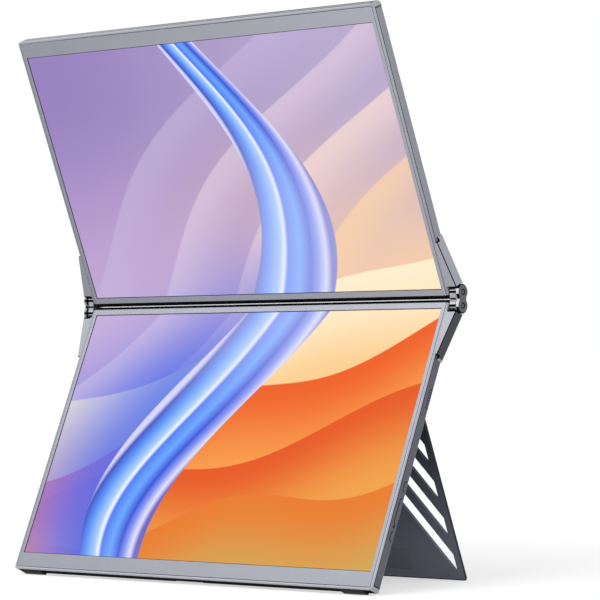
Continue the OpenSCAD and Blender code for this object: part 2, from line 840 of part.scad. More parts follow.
// Solid right shaft, and hollow left shaft that the wires pass through
module shaft_pair() {
  rod(knuckle_x0, cap_x1 - dimple_d, shaft_r, pivot_depth, 0);
  mirror([1, 0, 0]) difference() {
    rod(knuckle_x0, barrel_x1 + shaft_over, shaft_r, pivot_depth, 0);
    rod(knuckle_x0 - over, barrel_x1 + shaft_over + over, wire_bore_r, pivot_depth, 0);
  }
}

module lower_shafts() {
  color(steel) place_lower() shaft_pair();
}

module upper_shafts() {
  color(steel) place_upper() shaft_pair();
}

// Involute function of an angle, in degrees
function involute(a) = tan(a) * 180 / PI - a;

// Outline of a gear whose first tooth points along the second axis
module gear_shape() {
  pressure = 20;
  base_r = gear_r * cos(pressure);
  half_tooth = 90 / gear_teeth - backlash / 2 / gear_r * 180 / PI;
  steps = 4;
  radii = [for (i = [0 : steps]) base_r + (gear_tip_r - base_r) * i / steps];
  angles = [for (r = radii) half_tooth + involute(pressure) - involute(acos(min(1, base_r / r)))];
  root_r = gear_r - tooth_root;
  function at(r, a) = [r * sin(a), r * cos(a)];
  polygon([for (t = [0 : gear_teeth - 1]) let (mid = t * 360 / gear_teeth) each [
    at(root_r, mid - angles[0]),
    for (i = [0 : steps]) at(radii[i], mid - angles[i]),
    for (i = [steps : -1 : 0]) at(radii[i], mid + angles[i]),
    at(root_r, mid + angles[0])
  ]]);
}

// Gear in the right end cap, pressed on a shaft
module sync_gear(turn) {
  bar(barrel_x1 + fit_gap, cap_inner - fit_gap) rotate(turn) difference() {
    gear_shape();
    circle(r = shaft_r + hair);
  }
}

module lower_gear() {
  color(gold) place_link() translate([0, 0, -half_spacing]) sync_gear(0);
}

module upper_gear() {
  color(gold) place_link() translate([0, 0, half_spacing]) sync_gear(180 / gear_teeth);
}

// Two overlapping discs joined by a waist, as depth and height
module link_shape(r, waist) {
  square([2 * waist, pivot_spacing], center = true);
  for (end = [-1, 1]) translate([0, end * half_spacing]) circle(r = r);
}

// Right barrel pair, with a chamber for the discs round each shaft
module link_housing() {
  waist = barrel_r - barrel_waist;
  difference() {
    union() {
      bar(barrel_x0, barrel_x1) link_shape(barrel_r, waist);
      block([barrel_x0, 0, -wing_top], [barrel_x1, tab_y0, wing_top]);
    }
    for (end = [-1, 1]) {
      rod(barrel_x0 - over, barrel_x1 + over, shaft_r + running_gap, 0, end * half_spacing);
      rod(disc_chamber_x0, barrel_x1 + over, disc_chamber_r, 0, end * half_spacing);
      // Grooves along the front and along the outside of each barrel
      block([barrel_x0 - over, -barrel_r - over, end * half_spacing - groove_w / 2],
            [barrel_x1 - groove_end, -barrel_r + groove_d, end * half_spacing + groove_w / 2]);
      translate([0, 0, end * half_spacing]) rotate([-end * groove_angle, 0, 0])
        block([barrel_x0 - over, -barrel_r - over, -groove_w / 2],
              [barrel_x1 - groove_end, -barrel_r + groove_d, groove_w / 2]);
    }
    block([barrel_x0 - over, -barrel_r, -mid_groove_w / 2],
          [barrel_x1 - groove_end, -waist + groove_d, mid_groove_w / 2]);
    for (x = spine_screw_x) spine_screw_hole(x);
  }
}

module spine_screw_hole(x) {
  translate([x, spine_back + over, 0]) rotate([90, 0, 0])
    cylinder(r = spine_screw_r + running_gap, h = over + spine_screw_l);
}

module link_housing_right() {
  color(space_grey) place_link() link_housing();
}

module link_housing_left() {
  color(space_grey) place_link() mirror([1, 0, 0]) link_housing();
}

// Outer cover of the link, with a bevel round its face and its chamber
module cap_body() {
  edge_x = cap_x1 - cap_bevel;
  difference() {
    union() {
      bar(barrel_x1, edge_x) link_shape(cap_r, cap_waist);
      for (end = [-1, 1]) translate([edge_x, 0, end * half_spacing]) rotate([0, 90, 0])
        cylinder(r1 = cap_r, r2 = cap_r - cap_bevel, h = cap_bevel);
      translate([0, 0, -half_spacing]) linear_extrude(height = pivot_spacing)
        polygon([[barrel_x1, -cap_waist], [edge_x, -cap_waist], [cap_x1, cap_bevel - cap_waist],
                 [cap_x1, cap_waist - cap_bevel], [edge_x, cap_waist], [barrel_x1, cap_waist]]);
    }
    for (end = [-1, 1]) {
      rod(barrel_x1 - over, cap_inner, gear_tip_r + chamber_gap, 0, end * half_spacing);
    }
  }
}

module link_cap_right() {
  color(dark_grey) place_link() difference() {
    cap_body();
    for (end = [-1, 1]) {
      rod(barrel_x1, cap_x1 + over, shaft_r + running_gap, 0, end * half_spacing);
      rod(cap_x1 - dimple_d, cap_x1 + over, shaft_r + dimple_w, 0, end * half_spacing);
    }
  }
}

module link_cap_left() {
  color(dark_grey) place_link() mirror([1, 0, 0]) difference() {
    cap_body();
    for (end = [-1, 1]) difference() {
      rod(cap_x1 - dimple_d, cap_x1 + over, shaft_r + dimple_w, 0, end * half_spacing);
      rod(cap_x1 - dimple_d - over, cap_x1 - dimple_d / 2, shaft_r, 0, end * half_spacing);
    }
  }
}

// Bar that joins the two ends of the link and closes the gap from behind
module spine_bar() {
  color(steel) place_link() difference() {
    union() {
      bar(-barrel_x0, barrel_x0) difference() {
        union() {
          translate([web_y0, -web_t / 2]) square([tab_y0 - web_y0, web_t]);
          polygon([[wing_start, -wing_z(wing_start)], [wing_y1, -wing_top],
                   [spine_back, -wing_top], [spine_back, wing_top],
                   [wing_y1, wing_top], [wing_start, wing_z(wing_start)]]);
        }
        for (end = [-1, 1]) translate([0, end * half_spacing]) circle(r = flare_r);
      }
      block([-barrel_x1, tab_y0, -tab_half], [barrel_x1, spine_back, tab_half]);
    }
    both_sides() for (x = spine_screw_x) spine_screw_hole(x);
  }
}

module spine_screws() {
  color(near_black) place_link() both_sides() for (x = spine_screw_x)
    translate([x, spine_back + spine_head_t, 0]) rotate([90, 0, 0]) {
      cylinder(r = spine_head_r, h = spine_head_t);
      cylinder(r = spine_screw_r, h = spine_screw_l);
    }
}

// Stacks of friction discs round the four shafts
module friction_discs() {
  step = disc_t + disc_gap;
  count = floor((barrel_x1 - disc_chamber_x0 - disc_gap) / step);
  color(steel) place_link() both_sides() for (end = [-1, 1], i = [0 : count - 1])
    translate([disc_chamber_x0 + disc_gap + i * step, 0, end * half_spacing])
      rotate([0, 90, 0]) difference() {
        cylinder(r = disc_chamber_r - running_gap, h = disc_t);
        translate([0, 0, -over]) cylinder(r = shaft_r + running_gap, h = disc_t + 2 * over);
      }
}

// Wires through the hollow shafts, joined across the left end cap
module link_cable() {
  bend_x = barrel_x1 + shaft_over + wire_r + fit_gap;
  color(near_black) place_link() mirror([1, 0, 0]) {
    for (end = [-1, 1]) rod(knuckle_x0 + hair, bend_x + wire_r, wire_r, 0, end * half_spacing);
    translate([bend_x, 0, -half_spacing]) cylinder(r = wire_r - 2 * hair, h = pivot_spacing);
  }
}

// Straight piece of wire between two points
module wire(a, b) {
  run = b - a;
  turn = atan2(run[1], run[0]);
  drop = acos(run[2] / norm(run));
  translate(a) rotate([0, drop, turn]) cylinder(r = wire_r, h = norm(run));
  translate(b) sphere(r = wire_r + 2 * hair);
}

// Wire from the left shaft to the edge of a board
module panel_cable() {
  start = [-knuckle_x0, pivot_depth, 0];
  turn = [-knuckle_x0 + wire_lead, pivot_depth, 0];
  rise = [-knuckle_x0 + wire_lead + wire_room, pivot_depth, wire_rise];
  land = [-board_half_w - wire_r, board_y + board_t / 2, board_z0 + wire_lead];
  wire(start, turn);
  wire(turn, rise);
  wire(rise, land);
}

module lower_cable() {
  color(near_black) place_lower() panel_cable();
}

module upper_cable() {
  color(near_black) place_upper() panel_cable();
}

// Main board, with an arm that reaches the sockets on the left
module main_board() {
  arm_x = -half_w + socket_l + hair;
  arm_z0 = leaf_z1 + board_gap;
  color(board_green) place_lower() slab(board_y, board_y + board_t)
    polygon([[arm_x, arm_z0], [-board_half_w, arm_z0], [-board_half_w, board_z0],
             [board_half_w, board_z0], [board_half_w, board_z1], [arm_x, board_z1]]);
}

module driver_board() {
  color(board_green) place_upper() slab(board_y, board_y + board_t)
    strip_shape(board_half_w, board_z0, driver_z1);
}

// One chip on the back of a board, by its place along it, its middle and its size
module chip(place, z, w, h) {
  x = place * chip_pitch;
  block([x - w / 2, board_y + board_t, z - h / 2],
        [x + w / 2, board_y + board_t + chip_t, z + h / 2]);
}

module board_chips() {
  mid = (board_z0 + board_z1) / 2;
  color(near_black) place_lower() {
    chip(-2, mid, chip_big, chip_big);
    for (place = [1, 3, 7]) chip(place, mid, chip_mid, chip_mid);
    for (place = [-8, 5]) chip(place, mid, chip_mid, chip_small);
    for (place = [-7 : -3]) chip(place, board_z1 - chip_pitch, chip_small, chip_small);
    for (place = [9 : 12]) chip(place, board_z0 + chip_pitch, chip_small, chip_small);
  }
}

module driver_chips() {
  mid = (board_z0 + driver_z1) / 2;
  color(near_black) place_upper() {
    for (place = [-4, 0, 4]) chip(place, mid, chip_mid, chip_mid);
    for (place = [7 : 10]) chip(place, mid, chip_small, chip_small);
  }
}

// Switches behind the buttons, on an upright board, and a post for the rocker
module button_board() {
  half = switch_w / 2;
  rocker_switch = rocker_l / 2 - switch_inset;
  color(board_green) place_lower() {
    block([button_board_x, button_bay_y0 + fit_gap, button_bay_z0 + fit_gap],
          [switch_x, bay_deep - fit_gap, button_bay_z1 - fit_gap]);
    for (z = [power_z, menu_z])
      block([switch_x, button_y - half, z - half], [press_x, button_y + half, z + half]);
    for (z = [rocker_z - rocker_switch, rocker_z + rocker_switch])
      block([switch_x, button_y - half, z - half], [switch_x + switch_t, button_y + half, z + half]);
    block([switch_x, button_y - half, rocker_z - half / 2],
          [rocker_axis_x - rocker_ridge_r - running_gap, button_y + half, rocker_z + half / 2]);
  }
}

module speakers() {
  y0 = stack_back + fit_gap;
  x0 = speaker_x1 - speaker_w;
  slots = floor(speaker_w / (2 * speaker_slot)) - 1;
  color(near_black) place_lower() both_sides() difference() {
    block([x0, y0, speaker_z0], [speaker_x1, bay_deep - fit_gap, speaker_z1]);
    for (i = [1 : slots])
      block([x0 + (2 * i - 0.5) * speaker_slot, y0 - over, speaker_z0 + speaker_slot],
            [x0 + (2 * i + 0.5) * speaker_slot, y0 + speaker_slot_d, speaker_z1 - speaker_slot]);
  }
}

module usb_c_sockets() {
  color(steel) place_lower() for (i = [0, 1]) difference() {
    stadium_bar(-half_w + running_gap, -half_w + socket_l, button_y, socket_place(i),
                socket_h, socket_w);
    stadium_bar(-half_w - over, -half_w + socket_l - socket_back, button_y, socket_place(i),
                socket_h - 2 * socket_wall, socket_w - 2 * socket_wall);
  }
}

module socket_tongues() {
  color(near_black) place_lower() for (i = [0, 1])
    block([-half_w + tongue_in, button_y - tongue_t / 2, socket_place(i) - tongue_w / 2],
          [-half_w + socket_l - socket_back, button_y + tongue_t / 2, socket_place(i) + tongue_w / 2]);
}

module lamp_light_pipe() {
  color(white_film) place_lower()
    rod(switch_x, half_w - running_gap, lamp_r, button_y, lamp_z);
}

module foot_pads() {
  color(near_black) place_lower() both_sides()
    bar(half_w - foot_inset - foot_w, half_w - foot_inset)
      polygon([[foot_front, far_z], [foot_back, far_z], [foot_back, far_z + foot_h],
               [foot_back - foot_flat, far_z + foot_h + foot_slope],
               [foot_front, far_z + foot_h + foot_slope]]);
}

// Button cap with a flange that keeps it in the wall
module side_button(z, l) {
  stadium_bar(button_bay_x1 - hair, half_w + button_out, button_y, z, button_w, l);
  stadium_bar(button_bay_x1 - flange_t, button_bay_x1, button_y, z,
              button_w + 2 * flange_rim, l + 2 * flange_rim);
}

module power_button() {
  color(space_grey) place_lower() side_button(power_z, power_l);
}

module menu_button() {
  color(space_grey) place_lower() side_button(menu_z, menu_l);
}

// Long rocker, with a ridge behind it to tilt on and a notch in its middle
module level_rocker() {
  color(space_grey) place_lower() difference() {
    union() {
      stadium_bar(rocker_axis_x, half_w + button_out, button_y, rocker_z, button_w, rocker_l);
      stadium_bar(rocker_flange_x, rocker_flange_x + flange_t, button_y, rocker_z,
                  button_w + 2 * flange_rim, rocker_l - button_w);
      translate([rocker_axis_x, button_y + button_w / 2, rocker_z]) rotate([90, 0, 0])
        cylinder(r = rocker_ridge_r, h = button_w);
    }
    translate([half_w + button_out + rocker_notch_r - rocker_notch_d, button_y + button_w, rocker_z])
      rotate([90, 0, 0]) cylinder(r = rocker_notch_r, h = 2 * button_w);
  }
}

// Slots on the right half of the kickstand, as depth from the side and length
module slot_shapes() {
  x1 = stand_half_w - slot_rib;
  for (i = [0 : slot_count - 1]) {
    s0 = slot_start + i * slot_pitch;
    s1 = s0 + slot_mouth;
    run0 = (s0 - slot_top) / tan(slot_angle);
    run1 = (s1 - slot_top) / tan(slot_angle);
    polygon([[x1, s0], [x1, s1], [x1 - run1, slot_top], [x1 - run0, slot_top]]);
  }
}

module kickstand_plate() {
  color(dark_grey) place_stand() difference() {
    union() {
      slab(-stand_r, stand_r) difference() {
        strip_shape(stand_half_w, 0, plate_l);
        both_sides() slot_shapes();
      }
      rod(-stand_half_w, stand_half_w, stand_r);
    }
    rod(-stand_half_w - over, stand_half_w + over, pin_r + hair);
    for (i = [0 : lug_count - 1])
      block([lug_x(i) - lug_w / 2 - stand_edge_gap, -stand_t, -stand_t],
            [lug_x(i) + lug_w / 2 + stand_edge_gap, stand_t, stand_r + stand_edge_gap * 2]);
    slab(-stand_r - over, -stand_r + grip_t)
      strip_shape(grip_w / 2, plate_l - grip_end - grip_h, plate_l - grip_end);
  }
}

module kickstand_pin() {
  color(steel) place_stand() rod(-stand_half_w + end_inset, stand_half_w - end_inset, pin_r);
}

module kickstand_foot_strip() {
  color(near_black) place_stand() bar(-stand_half_w + end_inset, stand_half_w - end_inset)
    polygon([[-stand_r, plate_l], [stand_r, plate_l], [stand_r, stand_l + strip_slope],
             [-stand_r, stand_l]]);
}

module kickstand_grip_pad() {
  color(near_black) place_stand() slab(-stand_r, -stand_r + grip_t)
    strip_shape(grip_w / 2 - running_gap, plate_l - grip_end - grip_h + running_gap,
                plate_l - grip_end - running_gap);
}

// Panel frame of the lower panel: hinge line up, front to the viewer
module place_lower() {
  translate([0, pivot_y, pivot_height]) rotate([-lean, 0, 0])
    mirror([0, 0, 1]) translate([0, -pivot_depth, 0]) children();
}

// Middle of the link, between the two hinge lines
module place_link() {
  translate([0, pivot_y, pivot_height]) rotate([-link_lean, 0, 0])
    translate([0, 0, half_spacing]) children();
}

// Panel frame of the upper panel
module place_upper() {
  translate([0, pivot_y, pivot_height]) rotate([-link_lean, 0, 0])
    translate([0, 0, pivot_spacing]) rotate([link_lean + upper_lean, 0, 0])
      translate([0, -pivot_depth, 0]) children();
}

// Kickstand, swung out from the back of the lower panel
module place_stand() {
  place_lower() translate([0, stand_y, stand_z]) rotate([-stand_angle, 0, 0]) children();
}

lower_back_cover();
lower_bezel();
lower_screen_glass();
lower_backlight();
lower_screen_tray();
lower_ear_left();
lower_ear_right();
lower_hinge_brackets();
lower_bracket_screws();
lower_shafts();
lower_gear();
lower_cable();
main_board();
board_chips();
button_board();
speakers();
usb_c_sockets();
socket_tongues();
lamp_light_pipe();
foot_pads();
power_button();
level_rocker();
menu_button();
kickstand_plate();
kickstand_pin();
kickstand_foot_strip();
kickstand_grip_pad();
link_housing_left();
link_housing_right();
link_cap_left();
link_cap_right();
spine_bar();
spine_screws();
friction_discs();
link_cable();
upper_back_cover();
upper_bezel();
upper_screen_glass();
upper_backlight();
upper_screen_tray();
upper_ear_left();
upper_ear_right();
upper_hinge_brackets();
upper_bracket_screws();
upper_shafts();
upper_gear();
upper_cable();
driver_board();
driver_chips();
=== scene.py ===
"""Looks of a folding pair of displays: finishes, pictures on the screens, light, floor and camera.

Lengths are in metres, and on a part's own axes in millimetres. There width runs along the hinge,
depth goes in from the front, and height goes from the hinge to the far edge.
"""

import json
import math

import bpy
import numpy as np
from mathutils import Matrix, Vector


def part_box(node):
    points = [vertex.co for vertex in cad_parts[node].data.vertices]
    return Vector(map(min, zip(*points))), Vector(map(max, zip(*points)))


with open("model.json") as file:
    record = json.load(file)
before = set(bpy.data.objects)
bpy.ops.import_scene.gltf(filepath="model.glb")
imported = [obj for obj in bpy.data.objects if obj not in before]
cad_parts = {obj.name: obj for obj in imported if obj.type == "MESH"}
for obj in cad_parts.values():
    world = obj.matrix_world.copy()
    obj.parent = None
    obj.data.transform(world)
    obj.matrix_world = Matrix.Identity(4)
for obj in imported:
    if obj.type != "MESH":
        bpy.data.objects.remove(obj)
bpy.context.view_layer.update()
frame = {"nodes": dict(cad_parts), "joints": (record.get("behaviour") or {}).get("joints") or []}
nodes = frame["nodes"]

MM = 0.001

# Camera
CAMERA_AIM = (39.358 * MM, 34.701 * MM, 199.428 * MM)
CAMERA_DISTANCE = 2210.456 * MM
CAMERA_AZIMUTH = 42.3156
CAMERA_ELEVATION = 0.4931
CAMERA_ROLL = -1.8215
CAMERA_LENS = 183.15
SENSOR_WIDTH = 36

# Light and floor
AMBIENT = 0.45
BACKDROP_WHITE = 1.0
KEY_STRENGTH, KEY_TOWARDS = 0.9, (0.5, 1.0, -1.1)
FILL_STRENGTH, FILL_TOWARDS = 0.1, (-1.0, 0.3, -0.6)
SOFT_ANGLE = 50
SEEN_RAYS = ("Is Camera Ray", "Is Glossy Ray", "Is Transmission Ray")
FLOOR_HALF, FLOOR_LINES = 4.0, 9
FLOOR_LIFT, FLOOR_CLOUD = 0.55, 0.4


def srgb(red, green, blue):
    """A colour given as 0 to 255 on a display, as the linear colour that a shader works with."""
    share = np.array([red, green, blue]) / 255
    linear = np.where(share <= 0.04045, share / 12.92, ((share + 0.055) / 1.055) ** 2.4)
    return (*linear.tolist(), 1.0)


class Value:
    """A socket in a material. Arithmetic on it adds Math nodes and gives the result's socket."""

    def __init__(self, finish, socket):
        self.finish = finish
        self.socket = socket

    def math(self, operation, *values):
        return self.finish.node("ShaderNodeMath", {"operation": operation}, values)

    def __add__(self, other):
        return self.math("ADD", self, other)

    def __radd__(self, other):
        return self.math("ADD", other, self)

    def __sub__(self, other):
        return self.math("SUBTRACT", self, other)

    def __rsub__(self, other):
        return self.math("SUBTRACT", other, self)

    def __mul__(self, other):
        return self.math("MULTIPLY", self, other)

    def __rmul__(self, other):
        return self.math("MULTIPLY", other, self)

    def __truediv__(self, other):
        return self.math("DIVIDE", self, other)

    def __rtruediv__(self, other):
        return self.math("DIVIDE", other, self)

    def __pow__(self, other):
        return self.math("POWER", self, other)

    def sine(self):
        return self.math("SINE", self)

    def size(self):
        return self.math("ABSOLUTE", self)

    def at_least(self, other):
        return self.math("MAXIMUM", self, other)

    def at_most(self, other):
        return self.math("MINIMUM", self, other)

    def rise(self, low, high):
        """0 where the value is below low, 1 above high, and a smooth step between them."""
        return self.finish.node(
            "ShaderNodeMapRange",
            {"interpolation_type": "SMOOTHSTEP"},
            {"Value": self, "From Min": low, "From Max": high},
        )

    def fall(self, low, high):
        """1 where the value is below low, 0 above high, and a smooth step between them."""
        return 1 - self.rise(low, high)

    def rise_evenly(self, low, high):
        """0 where the value is below low, 1 above high, and a straight line between them."""
        span = {"Value": self, "From Min": low, "From Max": high}
        return self.finish.node("ShaderNodeMapRange", {}, span)

    def over(self, edge, soft=0.1):
        """1 where the value is above the edge and 0 below it."""
        return self.rise(edge - soft, edge + soft)

    def under(self, edge, soft=0.1):
        """1 where the value is below the edge and 0 above it."""
        return self.fall(edge - soft, edge + soft)

    def within(self, low, high, soft=0.1):
        """1 where the value is between low and high and 0 elsewhere."""
        return self.over(low, soft) * self.under(high, soft)

    def bell(self, middle, half_width):
        """1 at the middle, falling smoothly to 0 half a width away on each side."""
        return 1 - ((self - middle).size() / half_width).rise(0, 1)


class Finish:
    """One material with a Principled shader, whose sockets shade() sets."""

    def __init__(self, name):
        self.material = bpy.data.materials.new(name)
        self.material.use_nodes = True
        self.tree = self.material.node_tree
        self.tree.nodes.clear()
        self.shader = self.tree.nodes.new("ShaderNodeBsdfPrincipled")
        output = self.tree.nodes.new("ShaderNodeOutputMaterial")
        self.tree.links.new(self.shader.outputs[0], output.inputs["Surface"])
        self.surface = output.inputs["Surface"]

    def put(self, socket, value):
        """A link where the value is a socket of this material, and otherwise a plain setting."""
        if isinstance(value, Value):
            self.tree.links.new(value.socket, socket)
        else:
            socket.default_value = value

    def node(self, kind, settings, values, output=0):
        """Adds a node: its settings, with a ramp's stops among them, and then its sockets."""
        made = self.tree.nodes.new(kind)
        for name, setting in settings.items():
            if name == "stops":
                ramp = made.color_ramp
                while len(ramp.elements) < len(setting):
                    ramp.elements.new(1)
                for element, (place, colour) in zip(ramp.elements, setting):
                    element.position, element.color = place, colour
            else:
                setattr(made, name, setting)
        pairs = values.items() if isinstance(values, dict) else enumerate(values)
        for key, value in pairs:
            self.put(made.inputs[key], value)
        return Value(self, made.outputs[output])

    def place(self):
        """The point on the piece, in the row frame at rest."""
        return self.node("ShaderNodeTexCoord", {}, {}, "Object")

    def mapped(self, location=(0, 0, 0), turn=(0, 0, 0), scale=(1, 1, 1)):
        """The point seen from an origin at location, turned by turn, in units of scale."""
        return self.node(
            "ShaderNodeMapping",
            {"vector_type": "TEXTURE"},
            {"Vector": self.place(), "Location": location, "Rotation": turn, "Scale": scale},
        )

    def axes(self, point):
        """The three coordinates of a point."""
        split = self.tree.nodes.new("ShaderNodeSeparateXYZ")
        self.put(split.inputs[0], point)
        return [Value(self, socket) for socket in split.outputs]

    def noise(self, point, grain, detail=3.0, roughness=0.5):
        """Noise around 0.5 whose features are about grain metres across."""
        return self.node(
            "ShaderNodeTexNoise",
            {},
            {"Vector": point, "Scale": 1 / grain, "Detail": detail, "Roughness": roughness},
        )

    def mix(self, mask, first, second, blend="MIX"):
        """The first colour where the mask is 0 and the second where it is 1."""
        return self.node(
            "ShaderNodeMix",
            {"data_type": "RGBA", "blend_type": blend},
            {0: mask, 6: first, 7: second},
            2,
        )

    def shade(self, **sockets):
        """Sets the shader's sockets by name, with _ for a space, and returns the material."""
        for name, value in sockets.items():
            self.put(self.shader.inputs[name.replace("_", " ")], value)
        return self.material


def toned(colour, strength, lift=0.0):
    """A colour made stronger or weaker, and lifted by an even amount."""
    return (*(min(1, strength * part + lift) for part in colour[:3]), 1.0)


def blasted_metal(name, colour, metal, dull, wear_and_highlight, grain=0.5 * MM, marks=None):
    """Bead-blasted metal: fine grain, faint clouds and smudges, and softened edges paler as wear and
    as a painted highlight.
    """
    f = Finish(name)
    point = f.place()
    speck = f.noise(point, grain, 2)
    cloud = f.noise(point, METAL_CLOUD, 3)
    smudge = f.noise(point, METAL_SMUDGE, 4, 0.6)
    softened = f.node("ShaderNodeBevel", {"samples": BEVEL_SAMPLES}, {"Radius": WORN_EDGE})
    normal = f.node("ShaderNodeNewGeometry", {}, {}, "Normal")
    dot = {"operation": "DOT_PRODUCT"}
    facing = f.node("ShaderNodeVectorMath", dot, [softened, normal], "Value")
    near_edge = (1 - facing).rise(0.01, 0.25)
    spread = speck.rise(0.3, 0.7) * 0.5 + cloud * 0.5
    tone = f.mix(spread, toned(colour, 1 - METAL_SPREAD), toned(colour, 1 + METAL_SPREAD))
    # Softened edges turn paler: partly wear, partly a painted highlight where they catch the light
    tone = f.mix(near_edge * wear_and_highlight * (0.5 + smudge), tone, toned(colour, EDGE_WEAR_AND_HIGHLIGHT))
    tone, black = marks(f, tone) if marks else (tone, 0.0)
    relief = {"Strength": GRAIN_BUMP, "Distance": RELIEF, "Height": speck, "Normal": softened}
    rough = dull + (smudge - 0.5) * SMUDGE_ROUGH + (speck - 0.5) * GRAIN_ROUGH
    return blackened(f, tone, black, metal, rough, f.node("ShaderNodeBump", {}, relief))


def anodised(name, colour, marks=None):
    """The blasted aluminium of the covers, bezels, ears and buttons."""
    return blasted_metal(name, colour, metal=0.35, dull=0.45, wear_and_highlight=0.25, marks=marks)


def blackened(f, tone, black, metal, rough, relief):
    """Shades a metal, flat black instead where black is 1: painted shade in grooves and gaps, and
    painted dark reflections.
    """
    f.shade(Specular_IOR_Level=METAL_GLOSS, Normal=relief)
    if not isinstance(black, Value):
        return f.shade(Base_Color=tone, Metallic=metal, Roughness=rough)
    return f.shade(
        Base_Color=f.mix(black, tone, PAINTED_SHADE_BLACK),
        Metallic=metal * (1 - black),
        Roughness=rough * (1 - black) + black,
    )


def turned_metal(name, colour, dull, metal=0.9, marks=None):
    """Turned or brushed metal: fine lines round the hinge's axis, over slow changes of tone."""
    f = Finish(name)
    across = f.mapped(scale=LATHE_LINES)
    lines = f.node("ShaderNodeTexNoise", {}, {"Vector": across, "Scale": 1.0, "Detail": 2.0})
    stain = f.noise(f.place(), STAIN, 3, 0.6)
    softened = f.node("ShaderNodeBevel", {"samples": BEVEL_SAMPLES}, {"Radius": TURNED_EDGE})
    dark, pale = toned(colour, 1 - TURNED_SPREAD), toned(colour, 1 + TURNED_SPREAD)
    tone = f.mix(lines.rise(0.3, 0.7), dark, pale)
    tone = f.mix(stain.rise(0.55, 0.8) * 0.3, tone, toned(colour, STAIN_DARK))
    tone, black = marks(f, tone) if marks else (tone, 0.0)
    relief = {"Strength": LINE_BUMP, "Distance": RELIEF, "Height": lines, "Normal": softened}
    rough = dull + (lines - 0.5) * LINE_ROUGH + (stain - 0.5) * STAIN_ROUGH
    return blackened(f, tone, black, metal, rough, f.node("ShaderNodeBump", {}, relief))


def moulded(name, colour, dull, relief=0.2, dust=0.25):
    """Rubber or moulded plastic: a fine pebble, slow changes of tone and a little pale dust."""
    f = Finish(name)
    point = f.place()
    pebbles = {"Vector": point, "Scale": 1 / PEBBLE}
    pebble = f.node("ShaderNodeTexVoronoi", {"feature": "SMOOTH_F1"}, pebbles)
    cloud = f.noise(point, PLASTIC_CLOUD, 4, 0.6)
    tone = f.mix(cloud, toned(colour, 1 - PLASTIC_SPREAD), toned(colour, 1 + PLASTIC_SPREAD))
    tone = f.mix(cloud.rise(0.55, 0.85) * dust, tone, toned(colour, 1, DUST_LIFT))
    bump = f.node("ShaderNodeBump", {}, {"Strength": relief, "Distance": RELIEF, "Height": pebble})
    rough = dull + (cloud - 0.5) * PLASTIC_ROUGH
    return f.shade(Base_Color=tone, Roughness=rough, Normal=bump)


# Metals and plastics: sizes of their patterns, how far tones and roughness vary, and bump strengths
# The black on the next line is painted shade and painted dark reflection for grooves, gaps and rims
METAL_GLOSS, PAINTED_SHADE_BLACK = 0.08, srgb(10, 10, 13)
BEVEL_SAMPLES = 6
WORN_EDGE, TURNED_EDGE, RELIEF = 0.35 * MM, 0.15 * MM, 0.2 * MM
METAL_CLOUD, METAL_SMUDGE, STAIN = 60 * MM, 18 * MM, 9 * MM
# The last number here pales the softened edges, as wear and as a painted highlight
METAL_SPREAD, SMUDGE_ROUGH, GRAIN_ROUGH, GRAIN_BUMP, EDGE_WEAR_AND_HIGHLIGHT = 0.07, 0.18, 0.1, 0.05, 1.9
LATHE_LINES = (0.35 * MM, 12 * MM, 12 * MM)
TURNED_SPREAD, LINE_ROUGH, STAIN_ROUGH, LINE_BUMP, STAIN_DARK = 0.14, 0.15, 0.15, 0.08, 0.6
PEBBLE, PLASTIC_CLOUD = 0.4 * MM, 25 * MM
PLASTIC_SPREAD, PLASTIC_ROUGH, DUST_LIFT = 0.15, 0.2, 0.06


def panel_place(glass, pivot, sense):
    """Where a panel lies: the middle of its hinge line, its turn and its height's sense."""
    mesh = nodes[glass].data
    front = max(mesh.polygons, key=lambda face: face.area * (face.normal.y < 0)).normal
    return {"middle": joint_place(pivot), "turn": math.atan2(-front.z, -front.y), "sense": sense}


def joint_place(name):
    """The point that a joint turns about, at rest."""
    return next(joint["pos_m"] for joint in frame["joints"] if joint["name"] == name)


def link_place():
    """Where the link lies: midway between the hinge lines, its height from lower to upper."""
    low, high = np.array(joint_place("lower_pivot")), np.array(joint_place("upper_pivot"))
    across = high - low
    turn = math.atan2(-across[1], across[2])
    return {"middle": ((low + high) / 2).tolist(), "turn": turn, "sense": 1}


def own_axes(finish, place, depth_shift=0.0):
    """Width, depth and height in millimetres on the part that lies at place."""
    sizes = (MM, MM, MM * place["sense"])
    x, depth, height = finish.axes(finish.mapped(place["middle"], (place["turn"], 0, 0), sizes))
    return x, depth + depth_shift, height


def reach(node, place):
    """Lowest and highest width and height of a node's mesh, on the axes of the part at place."""
    flat = np.empty(3 * len(nodes[node].data.vertices))
    nodes[node].data.vertices.foreach_get("co", flat)
    x, y, z = (flat.reshape(-1, 3) - place["middle"]).T / MM
    height = place["sense"] * (z * math.cos(place["turn"]) - y * math.sin(place["turn"]))
    return x.min(), x.max(), height.min(), height.max()


LOWER = panel_place("lower_screen_glass", "lower_pivot", -1)
UPPER = panel_place("upper_screen_glass", "upper_pivot", 1)
LINK = link_place()
_, HALF_WIDTH, NEAR_EDGE, FAR_EDGE = reach("lower_back_cover", LOWER)

# Depth of the pivots behind a panel's front, and the width of a cover's rim, in millimetres
PIVOT_DEPTH, RIM = 4.6, 1.9


